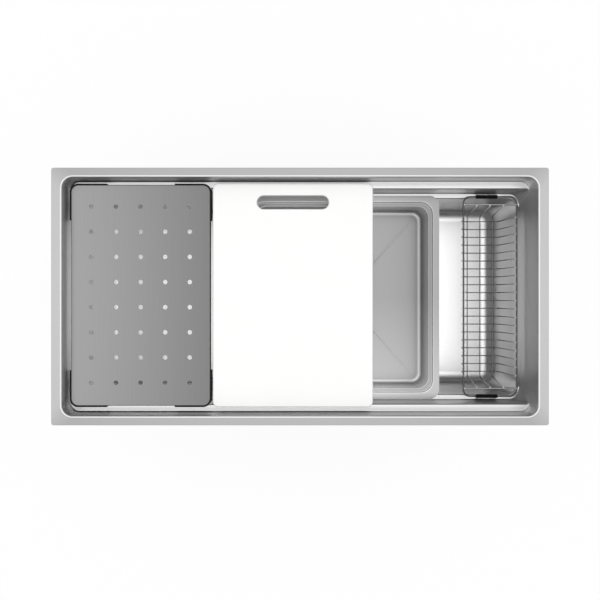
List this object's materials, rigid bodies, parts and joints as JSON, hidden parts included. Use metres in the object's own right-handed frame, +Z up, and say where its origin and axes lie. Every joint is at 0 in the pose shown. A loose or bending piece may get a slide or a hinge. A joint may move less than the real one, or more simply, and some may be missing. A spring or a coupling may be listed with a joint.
{
  "type": "kitchen sink",
  "caption": "Rectangular inset steel kitchen sink with two tiers of ledges that carry a perforated plate, a cutting board, a stepped tray and a wire basket.",
  "frame": {"origin": "middle of the rim's underside, in the plane where the sink sits on a worktop", "axes": "+X along the sink to the right seen from the front, +Y to the back wall, +Z up"},
  "size_m": [0.85, 0.44, 0.396],
  "materials": {
    "rim_steel": "brushed along the rim",
    "bowl_steel": "satin brushed sheet",
    "pad_rubber": "matt sound damping rubber",
    "clip_steel": "zinc plated",
    "strainer_steel": "polished",
    "seal_rubber": "matt",
    "fibre": "pressed fibre",
    "nut_plastic": "moulded dark grey plastic",
    "tail_steel": "polished tube",
    "plate_steel": "cross brushed",
    "guard_rubber": "matt black",
    "board_plastic": "fine matt texture",
    "tray_steel": "satin pressed sheet",
    "wire_steel": "electropolished wire",
    "sleeve_rubber": "matt black"
  },
  "bodies": {
    "sink": {"rim_plate": "rim_steel", "sink_bowl": "bowl_steel", "floor_pad_left": "pad_rubber", "floor_pad_right": "pad_rubber", "end_pad_left": "pad_rubber", "end_pad_right": "pad_rubber", "front_pad": "pad_rubber", "back_pad": "pad_rubber", "clip_brackets": "clip_steel", "clip_screws": "clip_steel", "clip_claws": "clip_steel", "strainer_body": "strainer_steel", "flange_seal": "seal_rubber", "under_washer": "seal_rubber", "friction_ring": "fibre", "locknut": "nut_plastic", "tail_washer": "seal_rubber", "tailpiece": "tail_steel", "slip_nut": "nut_plastic"},
    "lift_out_strainer": {"strainer_cup": "strainer_steel", "strainer_plug": "seal_rubber", "strainer_post": "strainer_steel", "strainer_knob": "strainer_steel"},
    "plate": {"drain_plate": "plate_steel", "guard_back_right": "guard_rubber", "guard_back_left": "guard_rubber", "guard_front_left": "guard_rubber", "guard_front_right": "guard_rubber"},
    "board": {"cutting_board": "board_plastic"},
    "tray": {"tray_pan": "tray_steel"},
    "stopper": {"tray_stopper": "seal_rubber"},
    "wire_basket": {"basket_rim": "wire_steel", "basket_bar_front": "wire_steel", "basket_bar_back": "wire_steel", "basket_long_wires": "wire_steel", "basket_cross_wires": "wire_steel", "sleeve_back_left": "sleeve_rubber", "sleeve_back_right": "sleeve_rubber", "sleeve_front_left": "sleeve_rubber", "sleeve_front_right": "sleeve_rubber"}
  },
  "joints": [
    {"name": "strainer_lift", "type": "slide", "parent": "sink", "child": "lift_out_strainer", "axis": [0, 0, 1], "range_m": [0, 0.06]},
    {"name": "plate_lift", "type": "slide", "parent": "sink", "child": "plate", "axis": [0, 0, 1], "range_m": [0, 0.12]},
    {"name": "board_slide", "type": "slide", "parent": "sink", "child": "board", "axis": [1, 0, 0], "range_m": [0, 0.27]},
    {"name": "tray_slide", "type": "slide", "parent": "sink", "child": "tray", "axis": [1, 0, 0], "range_m": [-0.3, 0]},
    {"name": "stopper_lift", "type": "slide", "parent": "tray", "child": "stopper", "axis": [0, 0, 1], "range_m": [0, 0.045]},
    {"name": "basket_slide", "type": "slide", "parent": "sink", "child": "wire_basket", "axis": [1, 0, 0], "range_m": [-0.038, 0.005]}
  ]
}
